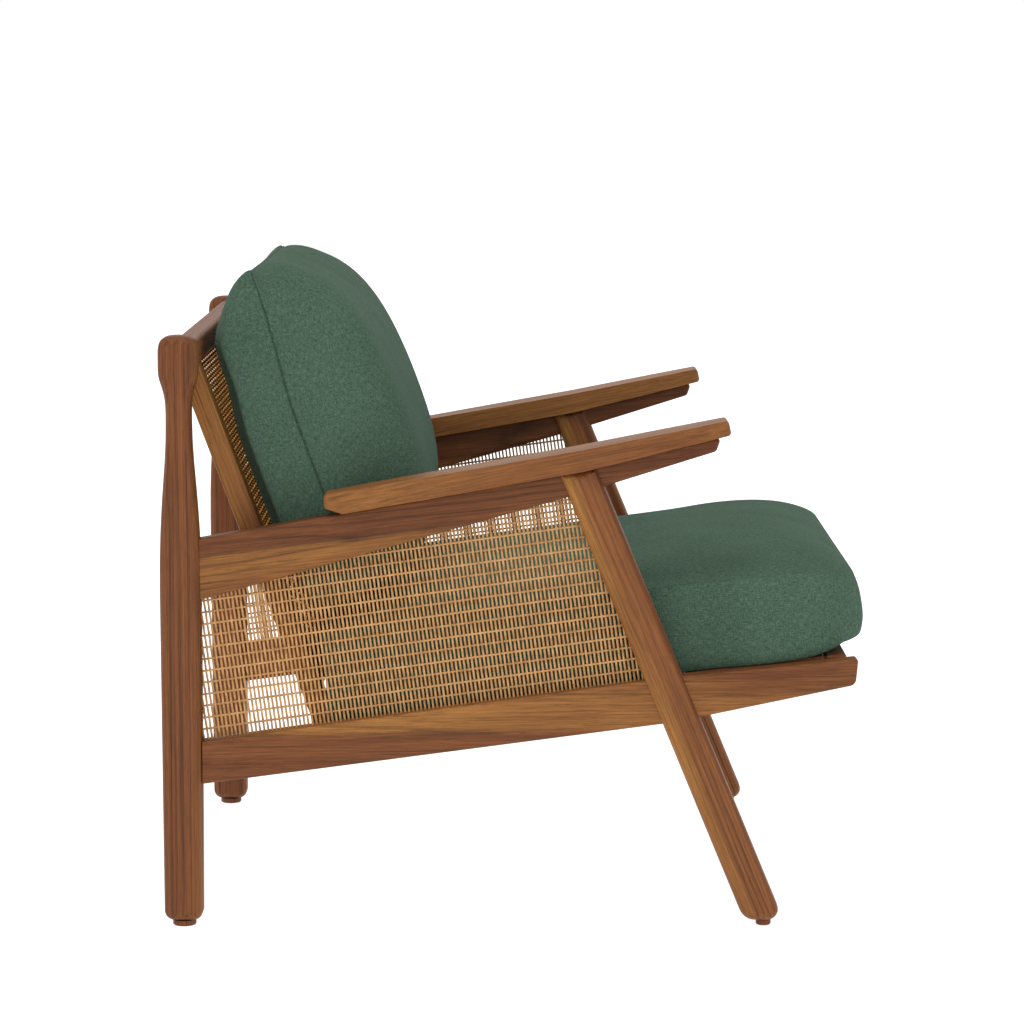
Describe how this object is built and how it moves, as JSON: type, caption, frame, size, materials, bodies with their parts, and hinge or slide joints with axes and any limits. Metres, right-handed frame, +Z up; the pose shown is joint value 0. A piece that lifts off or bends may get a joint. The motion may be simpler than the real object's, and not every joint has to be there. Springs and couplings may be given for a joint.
{
  "type": "planters chair",
  "caption": "Low wooden lounge chair with raked front legs, woven cane sides and back, sloping armrests and loose seat and back cushions.",
  "frame": {"origin": "centre of the bounding box on the floor under the feet", "axes": "+X is the way the chair faces, +Y is the sitter's left, +Z is up"},
  "size_m": [0.8308, 0.768, 0.7858],
  "materials": {
    "teak": "oiled, satin, straight brown grain",
    "dark_teak": "oiled, satin, darker brown",
    "cane": "natural split cane, plain weave",
    "green_cloth": "matt woven upholstery cloth"
  },
  "bodies": {
    "frame": {"right_rear_leg": "teak", "left_rear_leg": "teak", "right_front_leg": "teak", "left_front_leg": "teak", "right_rear_foot_glide": "dark_teak", "left_rear_foot_glide": "dark_teak", "right_front_foot_glide": "dark_teak", "left_front_foot_glide": "dark_teak", "right_seat_rail": "teak", "left_seat_rail": "teak", "right_arm_rail": "teak", "left_arm_rail": "teak", "right_armrest": "teak", "left_armrest": "teak", "right_armrest_dowel_1": "dark_teak", "right_armrest_dowel_2": "dark_teak", "right_armrest_dowel_3": "dark_teak", "left_armrest_dowel_1": "dark_teak", "left_armrest_dowel_2": "dark_teak", "left_armrest_dowel_3": "dark_teak", "right_side_cane": "cane", "left_side_cane": "cane", "front_cross_rail": "teak", "rear_cross_rail": "teak", "crest_rail": "teak", "right_back_stile": "teak", "left_back_stile": "teak", "lower_back_rail": "teak", "back_cane": "cane", "right_rear_seat_cleat": "dark_teak", "left_rear_seat_cleat": "dark_teak", "right_front_seat_cleat": "dark_teak", "left_front_seat_cleat": "dark_teak", "seat_slat_1": "dark_teak", "seat_slat_2": "dark_teak", "seat_slat_3": "dark_teak", "seat_slat_4": "dark_teak", "seat_slat_5": "dark_teak", "seat_slat_6": "dark_teak"},
    "seat_pad": {"seat_cushion": "green_cloth"},
    "back_pad": {"back_cushion": "green_cloth"}
  },
  "joints": [
    {"name": "seat_cushion_pull", "type": "slide", "parent": "frame", "child": "seat_pad", "axis": [0.9905, 0, 0.1375], "range_m": [0, 0.67]},
    {"name": "back_cushion_lift", "type": "slide", "parent": "frame", "child": "back_pad", "axis": [0, 0, 1], "range_m": [0, 0.4]}
  ]
}
